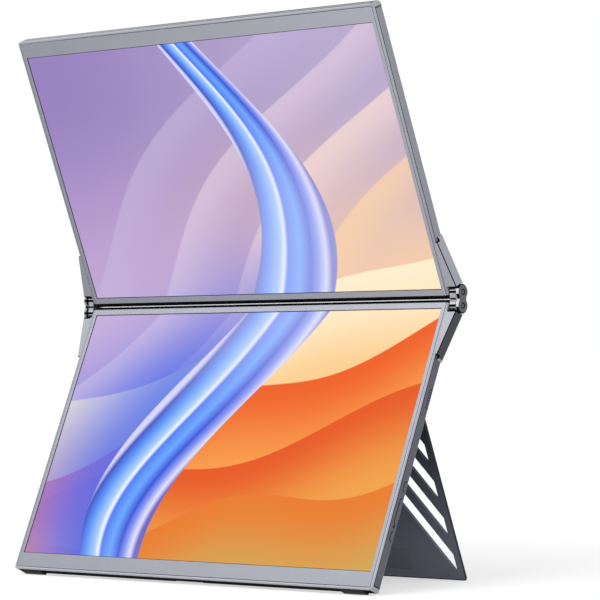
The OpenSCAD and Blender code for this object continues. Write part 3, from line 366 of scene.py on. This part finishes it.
def lit_screen(name, place):
    """The lit picture: a ribbon of blue silk in a long S, over soft mauve folds and orange sand."""
    f = Finish(name)
    x_mm, _, height_mm = own_axes(f, place)
    x = x_mm / PICTURE_UNIT
    up = height_mm * place["sense"] / PICTURE_UNIT
    picture = silk(f, x, up, sand(f, x, up, sky(f, x, up)))
    lit = x_mm.size().under(LIT_HALF, LIT_SOFT) * height_mm.within(*LIT_HEIGHT, LIT_SOFT)
    return f.shade(
        Base_Color=DARK_GLASS,
        Roughness=GLASS_ROUGH + f.noise(f.place(), GLASS_CLOUD) * GLASS_VARIES,
        Specular_IOR_Level=GLASS_GLOSS,
        Emission_Color=f.mix(lit, UNLIT, picture),
        Emission_Strength=1.0,
    )


def wave(along, pace, shift, size):
    """The sine of a length times its pace plus a shift, times a size."""
    return (along * pace + shift).sine() * size


def sky(f, x, up):
    """Mauve on the left, lilac on the right, warm near the middle, with broad slanting folds."""
    side = x.rise(-SKY_SIDE, SKY_SIDE)
    low, middle, high = (f.mix(side, left, right) for left, right in SKY)
    tone = f.mix(up.rise(*SKY_TOP), middle, high)
    tone = f.mix(up.rise(*SKY_BOTTOM), low, tone)
    slant = x * FOLD_RIGHT - up * FOLD_DOWN + wave(up, FOLD_PACE, x * FOLD_SHIFT, FOLD_SWELL)
    for crest, reach_on, colour in FOLDS:
        past = slant - crest
        edge = past.rise(0, FOLD_EDGE) * past.fall(FOLD_EDGE, reach_on)
        tone = f.mix(edge * FOLD_SHARE, tone, colour)
    return tone


def sand(f, x, up, under):
    """Overlapping waves of sand, each lit along its crest and deeper below it."""
    tone = under
    for start, slope, swell, pace, shift, crest, deep in WAVES:
        below = start + x * slope + wave(x, pace, shift, swell) - up
        body = f.mix(below.rise(0, WAVE_DEEP), crest, deep)
        tone = f.mix(below.rise(0, WAVE_EDGE), tone, body)
    return tone


def silk(f, x, up, under):
    """A ribbon whose middle swings to and fro like a sine, and a veil beside its lower half."""
    middle = wave(up, *RIBBON_SWING) + RIBBON_START + up * RIBBON_LEAN
    half = RIBBON_HALF + wave(up, *RIBBON_SWELL)
    off = (x - middle) / half
    veil = off.rise(*VEIL_SIDE) * off.under(0, VEIL_SOFT) * up.fall(*VEIL_TOP)
    tone = f.mix(veil * VEIL_SHARE, under, f.mix(off.rise(*VEIL_BLUES), *VEIL))
    twist = off + wave(up, *RIBBON_TWIST)
    ribbon = f.node("ShaderNodeValToRGB", {"stops": SILK}, {"Fac": twist.rise_evenly(-1.2, 1.2)})
    shine = f.mix(wave(up, *SHINE_WAVE).rise(-1, 1) * SHINE_SHARE, ribbon, SHINE)
    return f.mix(off.size().under(1, RIBBON_EDGE), tone, shine)


# Glass: the lit area in millimetres and how softly it ends, and its gloss
LIT_HALF, LIT_HEIGHT, LIT_SOFT = 172.08, (4.0, 197.59), 0.2
DARK_GLASS, UNLIT = srgb(6, 6, 8), srgb(8, 8, 12)
GLASS_GLOSS, GLASS_ROUGH, GLASS_VARIES, GLASS_CLOUD = 0.1, 0.3, 0.1, 30 * MM

# The picture, in units of 100 mm from the hinge's middle. A wave has a pace, a shift and a size
PICTURE_UNIT = 100
SKY = [
    (srgb(140, 128, 214), srgb(236, 196, 170)),
    (srgb(196, 168, 214), srgb(250, 208, 164)),
    (srgb(150, 128, 190), srgb(186, 170, 206)),
]
SKY_SIDE, SKY_BOTTOM, SKY_TOP = 1.7, (-2.0, 0.0), (-0.2, 1.7)
FOLD_RIGHT, FOLD_DOWN, FOLD_EDGE, FOLD_SHARE = 0.62, 0.78, 0.02, 0.62
FOLD_PACE, FOLD_SHIFT, FOLD_SWELL = 1.7, 0.6, 0.16
FOLDS = [
    (-1.25, 0.5, srgb(196, 178, 220)),
    (-0.72, 0.45, srgb(226, 204, 224)),
    (-0.2, 0.5, srgb(255, 226, 214)),
    (0.32, 0.4, srgb(255, 214, 168)),
]
WAVE_EDGE, WAVE_DEEP = 0.012, 0.75
WAVES = [
    (-0.2, 0.32, 0.1, 2.1, 0.4, srgb(255, 238, 206), srgb(250, 204, 138)),
    (-0.72, 0.34, 0.11, 2.5, 2.3, srgb(238, 92, 16), srgb(248, 158, 70)),
    (-1.16, 0.26, 0.12, 2.2, 4.1, srgb(230, 84, 8), srgb(240, 160, 66)),
    (-1.62, 0.2, 0.1, 2.8, 0.9, srgb(232, 122, 30), srgb(208, 168, 84)),
]
RIBBON_SWING, RIBBON_SWELL, RIBBON_TWIST = (1.35, 0.75, 0.62), (1.1, 2.2, 0.13), (2.6, 0.4, 0.16)
RIBBON_START, RIBBON_LEAN, RIBBON_HALF, RIBBON_EDGE = -0.12, 0.06, 0.3, 0.02
VEIL_SIDE, VEIL_SOFT, VEIL_TOP, VEIL_SHARE = (-5.2, -0.9), 0.3, (-0.7, 1.1), 0.88
VEIL_BLUES, VEIL = (-4.5, -1.0), (srgb(128, 150, 236), srgb(52, 104, 232))
SHINE_WAVE, SHINE_SHARE, SHINE = (1.9, 1.0, 1.0), 0.35, srgb(216, 222, 255)
SILK = [
    (0.08, srgb(214, 214, 252)),
    (0.13, srgb(58, 74, 190)),
    (0.24, srgb(88, 148, 252)),
    (0.36, srgb(166, 204, 255)),
    (0.41, srgb(240, 246, 255)),
    (0.45, srgb(74, 122, 240)),
    (0.58, srgb(104, 164, 255)),
    (0.7, srgb(44, 78, 214)),
    (0.78, srgb(132, 150, 244)),
    (0.86, srgb(226, 224, 252)),
    (0.92, srgb(104, 96, 196)),
]


def most(masks):
    """The largest of some masks."""
    largest = masks[0]
    for mask in masks[1:]:
        largest = largest.at_least(mask)
    return largest


def paint_light_and_shade(f, tone, x, height, corners):
    """Painted light and shade over a panel, from its strengths at the near and the far corners."""
    side = x.rise_evenly(-HALF_WIDTH, HALF_WIDTH)
    far = height.rise_evenly(NEAR_EDGE, FAR_EDGE)
    strengths = [(part, part, part, 1.0) for part in corners]
    grey = f.mix(far, f.mix(side, *strengths[:2]), f.mix(side, *strengths[2:]))
    return f.mix(1.0, tone, grey, "MULTIPLY")


def bezel_marks(place):
    """What a bezel plate shows: painted light and shade, changing slowly over the panel."""

    def marks(f, tone):
        x, _, height = own_axes(f, place)
        return paint_light_and_shade(f, tone, x, height, PANEL_PAINTED_LIGHT_AND_SHADE[place["sense"]]), 0.0

    return marks


def painted_shadow_rings(depth, height):
    """Painted shadow: dark rings round the front half of the buttons and the lamp, rectangles with
    round ends.
    """
    rings = []
    for middle, length in BUTTONS:
        straight = ((height - middle).size() - (length - BUTTON_WIDTH) / 2).at_least(0)
        off = (straight ** 2 + (depth - BUTTON_DEPTH) ** 2) ** 0.5 - BUTTON_WIDTH / 2
        rings.append(off.bell(*RING))
    return most(rings) * depth.under(*RING_DEPTH)


def cover_marks(place, buttons):
    """What a back cover shows: a lip round the bezel in painted light and shade, painted shadow
    lines beside it, and side walls in painted shade on the lower cover and painted light on the
    upper.

    Its far corners carry a painted highlight, and the wall towards the hinge is black as painted
    shade.
    So are the lower cover's far wall and the rings round its buttons. The upper cover's far wall
    has painted shade along both edges.
    """

    def marks(f, tone):
        x, depth, height = own_axes(f, place, PIVOT_DEPTH)
        from_side, from_far = HALF_WIDTH - x.size(), FAR_EDGE - height
        from_edge, from_near = from_side.at_most(from_far), height - NEAR_EDGE
        behind = depth.over(*BEHIND_LIP)
        # The lip in the bezel's tone, with painted light and shade
        lip = paint_light_and_shade(f, BEZEL, x, height, LIP_PAINTED_LIGHT_AND_SHADE[place["sense"]])
        tone = f.mix(depth.under(LIP_DEPTH), tone, lip)
        # Side walls: painted shade on the lower cover, painted light on the upper
        side = from_side.under(*SIDE_WALL) * behind * height.over(*WALL_START)
        tone = f.mix(side, tone, SIDE_PAINTED_LIGHT_AND_SHADE[place["sense"]])
        # Far corners: a painted highlight
        corner = from_far.under(CORNER_RADIUS) * from_edge.over(*CORNER_TOUCH)
        tone = f.mix(corner, tone, CORNER_PAINTED_HIGHLIGHT)
        on_right, on_far = x.over(HALF_WIDTH - TOUCH), from_far.under(TOUCH)
        far_wall = from_far.under(*FAR_WALL) * from_side.over(FAR_WALL_END)
        # Black as painted shade: the gap beside the lip, the wall towards the hinge, a line on the
        # right side wall and lines beside the corner highlights
        black = [
            from_edge.within(*GAP_LINE) * depth.under(GAP_DEPTH) * (x + HALF_WIDTH).rise(*GAP_FADE),
            from_near.under(NEAR_SHADOW) * depth.over(NEAR_DEPTH).at_least(from_near.under(TOUCH)),
            side * depth.within(*WALL_LINE) * x.over(0),
            from_far.bell(*RIGHT_FACET) * on_right * behind,
            (HALF_WIDTH - x).bell(*FAR_FACET) * on_far * behind,
        ]
        if buttons:
            # Painted shade: the lower cover's far wall in black, and shadow rings round its buttons
            black += [far_wall * behind, painted_shadow_rings(depth, height) * on_right]
        else:
            # Painted shade along both edges of the upper cover's far wall
            edges = depth.within(*FAR_LINE).at_least(depth.over(*FAR_SHADOW))
            black.append(far_wall * edges * x.rise(*FAR_FADE) * FAR_STRENGTH)
        return tone, most(black)

    return marks


def ear_marks(place, slant_painted_light_and_shade):
    """What an ear shows: painted light and shade on its slant, and painted shadow as a dark line and
    a black root and tip.
    """

    def marks(f, tone):
        x, depth, height = own_axes(f, place, PIVOT_DEPTH)
        # Painted light and shade over the ear
        tone = paint_light_and_shade(f, tone, x, height, PANEL_PAINTED_LIGHT_AND_SHADE[place["sense"]])
        above_root = height - EAR_ROOT[1]
        inward = EAR_ROOT[0] - above_root * EAR_SLOPE - x.size()
        # The slant: painted shade on the lower ear, painted light on the upper
        tone = f.mix(inward.under(*EAR_SIDE) * depth.over(TOUCH), tone, slant_painted_light_and_shade)
        # Black as painted shadow: beside the slant, in the tip's pocket, in the scallop and at the
        # root
        black = [
            inward.under(*EAR_LINE) * depth.under(*EAR_LINE_DEPTH),
            height.over(EAR_TIP[1] - EAR_POCKET) * depth.under(*EAR_POCKET_DEPTH),
            above_root.under(EAR_SCALLOP) * depth.within(*SCALLOP_DEPTH) * inward.over(SCALLOP_IN),
            above_root.under(ROOT_BAND[place["sense"]]) * x.size().over(BARREL_START),
        ]
        return tone, most(black)

    return marks


def barrel_bars(depth, height):
    """Where the grooves of the barrels run, which take a painted dark reflection."""
    off = height.size() - PIVOT_SPACING / 2
    outer = off.within(*OUTER_GROOVE) * height.over(0)
    return off.within(-GROOVE_HALF, GROOVE_HALF).at_least(outer) * depth.under(GROOVES_BACK)


def barrel_marks(f, tone):
    """Painted dark reflection along the barrels' grooves, painted shade between them, and a grey
    collar on an arm black with painted shade.
    """
    x, depth, height = own_axes(f, LINK)
    tone = f.mix(height.size().under(BARREL_LINE), tone, WAIST_PAINTED_SHADE)
    arm = x.size().under(ARM_END)
    collar = arm * height.within(*COLLAR) * depth.under(WEB_BACK)
    return f.mix(collar, tone, COLLAR_TONE), barrel_bars(depth, height).at_least(arm - collar)


def spine_marks(f, tone):
    """Black wings of painted shade on both sides of the bright web between the panels, a painted
    highlight.
    """
    _, depth, height = own_axes(f, LINK)
    return tone, 1 - height.within(*WEB) * depth.under(WEB_BACK)


def stand_marks(f, tone):
    """Painted shade, darker towards the hinge of the stand; darker also on its edges."""
    x, _, up = f.axes(f.mapped(scale=(MM, MM, MM)))
    tone = f.mix(up.rise_evenly(*STAND_RISE), tone, STAND_PAINTED_SHADE)
    return f.mix((STAND_HALF - x.size()).under(*STAND_SIDE), tone, STAND_EDGE), 0.0


def cap_marks(f, tone):
    """Painted reflections as bright and black blocks round the cap's rim, painted dark grooves
    beside them, and painted shade in rings round its pins.
    """
    x, depth, height = own_axes(f, LINK)
    axis_off = (height.size() - PIVOT_SPACING / 2).size()
    from_pin = (depth ** 2 + axis_off ** 2) ** 0.5
    from_end = CAP_END - x.size()
    rim = from_end.over(*CAP_RIM) * from_pin.over(RIM_START)
    blocks = height.within(*HIGH_BLOCK).at_least(height.within(*LOW_BLOCK))
    # Painted reflection: bright blocks on the rim's front, black on the rest of the rim
    bright = rim * blocks * depth.under(0)
    tone = f.mix(bright, tone, RIM_PAINTED_REFLECTION)
    black = (rim - bright).at_least(from_pin.within(*PIN_RING) * from_end.over(*PIN_FACE))
    inner = rim * (CAP_END - x).over(*BLOCK_LENGTH)
    grooves = barrel_bars(depth, height).at_least(height.size().under(LEFT_LINE) * x.under(0))
    return f.mix(inner, tone, INNER_TONE), black * (1 - inner) + grooves * inner


# Marks, in millimetres on the own axes. A span's third number is its softness, and an edge's second
TOUCH = 0.3

# Painted light and shade over a panel, by its sense: strengths at its near left, near right, far
# left and far right
COVER, BEZEL = srgb(160, 163, 172), srgb(166, 169, 178)
PANEL_PAINTED_LIGHT_AND_SHADE = {-1: (1.27, 1.3, 0.97, 1.1), 1: (0.95, 1.22, 1.05, 1.42)}
LIP_PAINTED_LIGHT_AND_SHADE = {-1: (1.2, 1.25, 0.93, 1.45), 1: (0.9, 1.05, 1.05, 1.5)}

# Back covers: the lip, the gap beside it, the side wall, the near shadow, corners and far wall,
# with their painted light, highlights and shadows
LIP_DEPTH, BEHIND_LIP = 0.75, (0.78, 0.05)
GAP_LINE, GAP_DEPTH, GAP_FADE = (RIM - 0.12, RIM + 0.45, 0.03), 3.0, (5, 90)
SIDE_WALL, WALL_START, WALL_LINE = (0.05, 0.04), (6.5, 0.6), (0.75, 1.35, 0.2)
SIDE_PAINTED_LIGHT_AND_SHADE = {-1: srgb(117, 117, 130), 1: srgb(172, 174, 184)}
NEAR_SHADOW, NEAR_DEPTH = 0.6, 0.8
CORNER_RADIUS, CORNER_TOUCH, CORNER_PAINTED_HIGHLIGHT = 3.5, (0.03, 0.02), srgb(190, 192, 200)
RIGHT_FACET, FAR_FACET = (3.6, 0.7), (3.5, 0.7)
FAR_WALL, FAR_WALL_END = (0.25, 0.08), 1.58
FAR_LINE, FAR_SHADOW, FAR_FADE, FAR_STRENGTH = (0.75, 1.7), (5.8, 1.5), (-140, 60), 0.8

# Buttons: the middle and the length of each along the panel, and the painted shadow ring round it
BUTTONS = [(134.4, 6.4), (152.5, 18.0), (170.6, 6.0), (163.8, 1.0)]
BUTTON_DEPTH, BUTTON_WIDTH = 5.6, 2.0
RING, RING_DEPTH = (0.2, 0.75), (BUTTON_DEPTH + 0.5, 0.3)

# Ears: width and height of the slant's ends, and the painted shadows in the tip's pocket and at the
# root
EAR_ROOT, EAR_TIP = (186.28, 5.4), (179.18, 40.0)
EAR_SLOPE = (EAR_ROOT[0] - EAR_TIP[0]) / (EAR_TIP[1] - EAR_ROOT[1])
EAR_SIDE, EAR_LINE, EAR_LINE_DEPTH = (0.12, 0.05), (0.55, 0.05), (0.5, 0.05)
EAR_POCKET, EAR_POCKET_DEPTH = 1.9, (3.45, 0.05)
EAR_SCALLOP, SCALLOP_DEPTH, SCALLOP_IN = 0.9, (1.2, 8.0), 0.15
ROOT_BAND = {-1: 1.1, 1: 0.4}

# Link: the grooves of the barrels, off each pivot, the collar and the web, and the end caps,
# with painted dark reflections and painted shade
PIVOT_SPACING = math.dist(joint_place("lower_pivot"), joint_place("upper_pivot")) / MM
BARREL_START, ARM_END = 178.4, 178.2
GROOVE_HALF, OUTER_GROOVE, GROOVES_BACK = 0.85, (2.5, 3.95), 0.5
BARREL_LINE, WAIST_PAINTED_SHADE = 0.7, srgb(44, 44, 50)
COLLAR, COLLAR_TONE = (-1.3, 0.5), srgb(150, 151, 158)
WEB, WEB_BACK = (-0.66, 0.12, 0.05), 2.0
CAP_END, CAP_RIM, RIM_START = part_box("link_cap_right")[1].x / MM, (0.12, 0.05), 3.4
HIGH_BLOCK, LOW_BLOCK, RIM_PAINTED_REFLECTION = (3.4, 7.0), (-5.6, -0.1), srgb(240, 240, 244)
BLOCK_LENGTH, LEFT_LINE, INNER_TONE = (1.7, 0.05), 0.8, srgb(168, 169, 174)
PIN_RING, PIN_FACE = (1.45, 3.2, 0.05), (0.03, 0.02)

# Kickstand: the heights between which painted shade darkens it, and the width of its dark edge
STAND_RISE, STAND_SIDE = (25, 115), (0.1, 0.05)
STAND_PAINTED_SHADE, STAND_EDGE = srgb(62, 63, 70), srgb(58, 58, 66)
STAND_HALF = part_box("kickstand_plate")[1].x / MM

STAND_METAL, BUTTON_METAL = srgb(126, 128, 142), srgb(117, 117, 130)
SHAFT_STEEL, ZINC = srgb(112, 113, 119), srgb(176, 178, 182)
FINISHES = {
    "lower_back_cover": anodised("lower cover", COVER, cover_marks(LOWER, True)),
    "upper_back_cover": anodised("upper cover", COVER, cover_marks(UPPER, False)),
    "lower_bezel": anodised("lower bezel", BEZEL, bezel_marks(LOWER)),
    "upper_bezel": anodised("upper bezel", BEZEL, bezel_marks(UPPER)),
    # The ears' slants: painted shade on the lower ear, painted light on the upper
    "lower_ear": anodised("lower ear", BEZEL, ear_marks(LOWER, srgb(88, 88, 96))),
    "upper_ear": anodised("upper ear", BEZEL, ear_marks(UPPER, srgb(190, 192, 204))),
    "level_rocker": anodised("level rocker", BUTTON_METAL),
    "menu_button": anodised("menu button", BUTTON_METAL),
    "power_button": anodised("power button", BUTTON_METAL),
    "aluminium_cover": anodised("anodised cover", COVER),
    "aluminium_bezel": anodised("anodised bezel", BEZEL),
    "kickstand_metal": blasted_metal(
        "anodised dark stand", STAND_METAL, 0.35, 0.5, 0.0, marks=stand_marks
    ),
    "sheet_steel": blasted_metal("zinc plated sheet", ZINC, 0.85, 0.4, 0.2, 1.5 * MM),
    "blackened_steel": blasted_metal("black oxide", srgb(52, 52, 55), 0.8, 0.5, 0.2),
    "hinge_metal": turned_metal("turned hinge metal", srgb(176, 177, 182), 0.3, marks=barrel_marks),
    "cap_metal": turned_metal("dark hinge caps", srgb(112, 112, 118), 0.4, 0.4, cap_marks),
    # The spine's pale tone, left only on its web, is a painted highlight
    "spine_metal": turned_metal("satin spine", srgb(228, 229, 233), 0.25, marks=spine_marks),
    "lower_shafts": turned_metal("lower shafts", SHAFT_STEEL, 0.45, 0.4),
    "upper_shafts": turned_metal("upper shafts", SHAFT_STEEL, 0.45, 0.4),
    "bright_steel": turned_metal("ground steel", srgb(150, 151, 156), 0.3, 1.0),
    "gear_brass": turned_metal("sintered brass", srgb(186, 156, 98), 0.4, 1.0),
    "lower_screen_glass": lit_screen("lower picture", LOWER),
    "upper_screen_glass": lit_screen("upper picture", UPPER),
    "kickstand_grip_pad": moulded("grip pad", srgb(150, 153, 168), 0.7),
    "lamp_light_pipe": moulded("smoked light pipe", srgb(40, 40, 46), 0.3, relief=0.05),
    "light_guide": moulded("milky plastic", srgb(228, 230, 232), 0.35, relief=0.05),
    "circuit_board": moulded("solder mask", srgb(22, 84, 58), 0.35, relief=0.05),
    "chip_plastic": moulded("moulded epoxy", srgb(44, 44, 48), 0.55),
    "rubber": moulded("rubber", srgb(15, 15, 18), 0.9, dust=0.1),
    "wire_jacket": moulded("wire jacket", srgb(38, 38, 40), 0.5, relief=0.05),
}
for name, node in nodes.items():
    for held in node.material_slots:
        names = (name, name.rsplit("_", 1)[0], held.material.name)
        held.material = FINISHES[next(key for key in names if key in FINISHES)]


def grid_mesh(name, points):
    """A surface through an array of points (rows, columns, 3), as quads between neighbours."""
    rows, columns = points.shape[:2]
    index = np.arange(rows * columns).reshape(rows, columns)
    corners = [index[:-1, :-1], index[:-1, 1:], index[1:, 1:], index[1:, :-1]]
    quads = np.stack(corners, -1)
    mesh = bpy.data.meshes.new(name)
    mesh.from_pydata(points.reshape(-1, 3).tolist(), [], quads.reshape(-1, 4).tolist())
    made = bpy.data.objects.new(name, mesh)
    bpy.context.scene.collection.objects.link(made)
    return made


def floor_finish():
    """A pale floor that takes shadows; seen or mirrored it is white where nothing shades it."""
    f = Finish("pale floor")
    f.shade(
        Base_Color=f.mix(f.noise(f.place(), FLOOR_CLOUD), srgb(226, 226, 227), srgb(230, 230, 230)),
        Roughness=1.0,
        Specular_IOR_Level=0.0,
        Emission_Strength=FLOOR_LIFT,
    )
    paths = f.tree.nodes.new("ShaderNodeLightPath")
    seen = most([Value(f, paths.outputs[name]) for name in SEEN_RAYS])
    return f.shade(Emission_Color=f.mix(seen, (0, 0, 0, 1), (1, 1, 1, 1)))


steps = np.linspace(-FLOOR_HALF, FLOOR_HALF, FLOOR_LINES)
floor_x, floor_y = np.meshgrid(steps, steps)
floor = grid_mesh("floor", np.stack([floor_x, floor_y, np.zeros_like(floor_x)], -1))
floor.data.materials.append(floor_finish())


def set_world():
    """Even light from all round; seen directly or mirrored the surroundings are white."""
    world = bpy.data.worlds.new("studio")
    bpy.context.scene.world = world
    world.use_nodes = True
    tree = world.node_tree
    tree.nodes.clear()
    paths = tree.nodes.new("ShaderNodeLightPath")
    seen = paths.outputs[SEEN_RAYS[0]]
    for name in SEEN_RAYS[1:]:
        larger = tree.nodes.new("ShaderNodeMath")
        larger.operation = "MAXIMUM"
        tree.links.new(seen, larger.inputs[0])
        tree.links.new(paths.outputs[name], larger.inputs[1])
        seen = larger.outputs[0]
    tone = tree.nodes.new("ShaderNodeMix")
    tone.data_type = "RGBA"
    tone.inputs[6].default_value = (AMBIENT, AMBIENT, AMBIENT, 1)
    tone.inputs[7].default_value = (BACKDROP_WHITE, BACKDROP_WHITE, BACKDROP_WHITE, 1)
    tree.links.new(seen, tone.inputs[0])
    light = tree.nodes.new("ShaderNodeBackground")
    tree.links.new(tone.outputs[2], light.inputs[0])
    output = tree.nodes.new("ShaderNodeOutputWorld")
    tree.links.new(light.outputs[0], output.inputs[0])


def sun(name, strength, towards, angle):
    """A wide, soft, even light that shines along towards."""
    data = bpy.data.lights.new(name, "SUN")
    data.energy = strength
    data.angle = math.radians(angle)
    lamp = bpy.data.objects.new(name, data)
    lamp.rotation_mode = "QUATERNION"
    lamp.rotation_quaternion = Vector(towards).to_track_quat("-Z", "Y")
    bpy.context.scene.collection.objects.link(lamp)


def set_camera():
    """A camera at its distance from its aim, azimuth round the object, elevation and roll."""
    azimuth, elevation, roll = map(math.radians, (CAMERA_AZIMUTH, CAMERA_ELEVATION, CAMERA_ROLL))
    level = math.cos(elevation)
    ahead = Vector((-math.sin(azimuth) * level, math.cos(azimuth) * level, -math.sin(elevation)))
    side = ahead.cross(Vector((0, 0, 1))).normalized()
    top = side.cross(ahead)
    right = side * math.cos(roll) + top * math.sin(roll)
    up = top * math.cos(roll) - side * math.sin(roll)
    data = bpy.data.cameras.new("camera")
    data.sensor_width = SENSOR_WIDTH
    data.lens = CAMERA_LENS
    camera = bpy.data.objects.new("camera", data)
    place = Matrix.Translation(Vector(CAMERA_AIM) - ahead * CAMERA_DISTANCE)
    camera.matrix_world = place @ Matrix((right, up, -ahead)).transposed().to_4x4()
    bpy.context.scene.collection.objects.link(camera)
    bpy.context.scene.camera = camera


set_world()
sun("key", KEY_STRENGTH, KEY_TOWARDS, SOFT_ANGLE)
sun("fill", FILL_STRENGTH, FILL_TOWARDS, SOFT_ANGLE)
set_camera()
bpy.context.scene.view_settings.view_transform = "Standard"
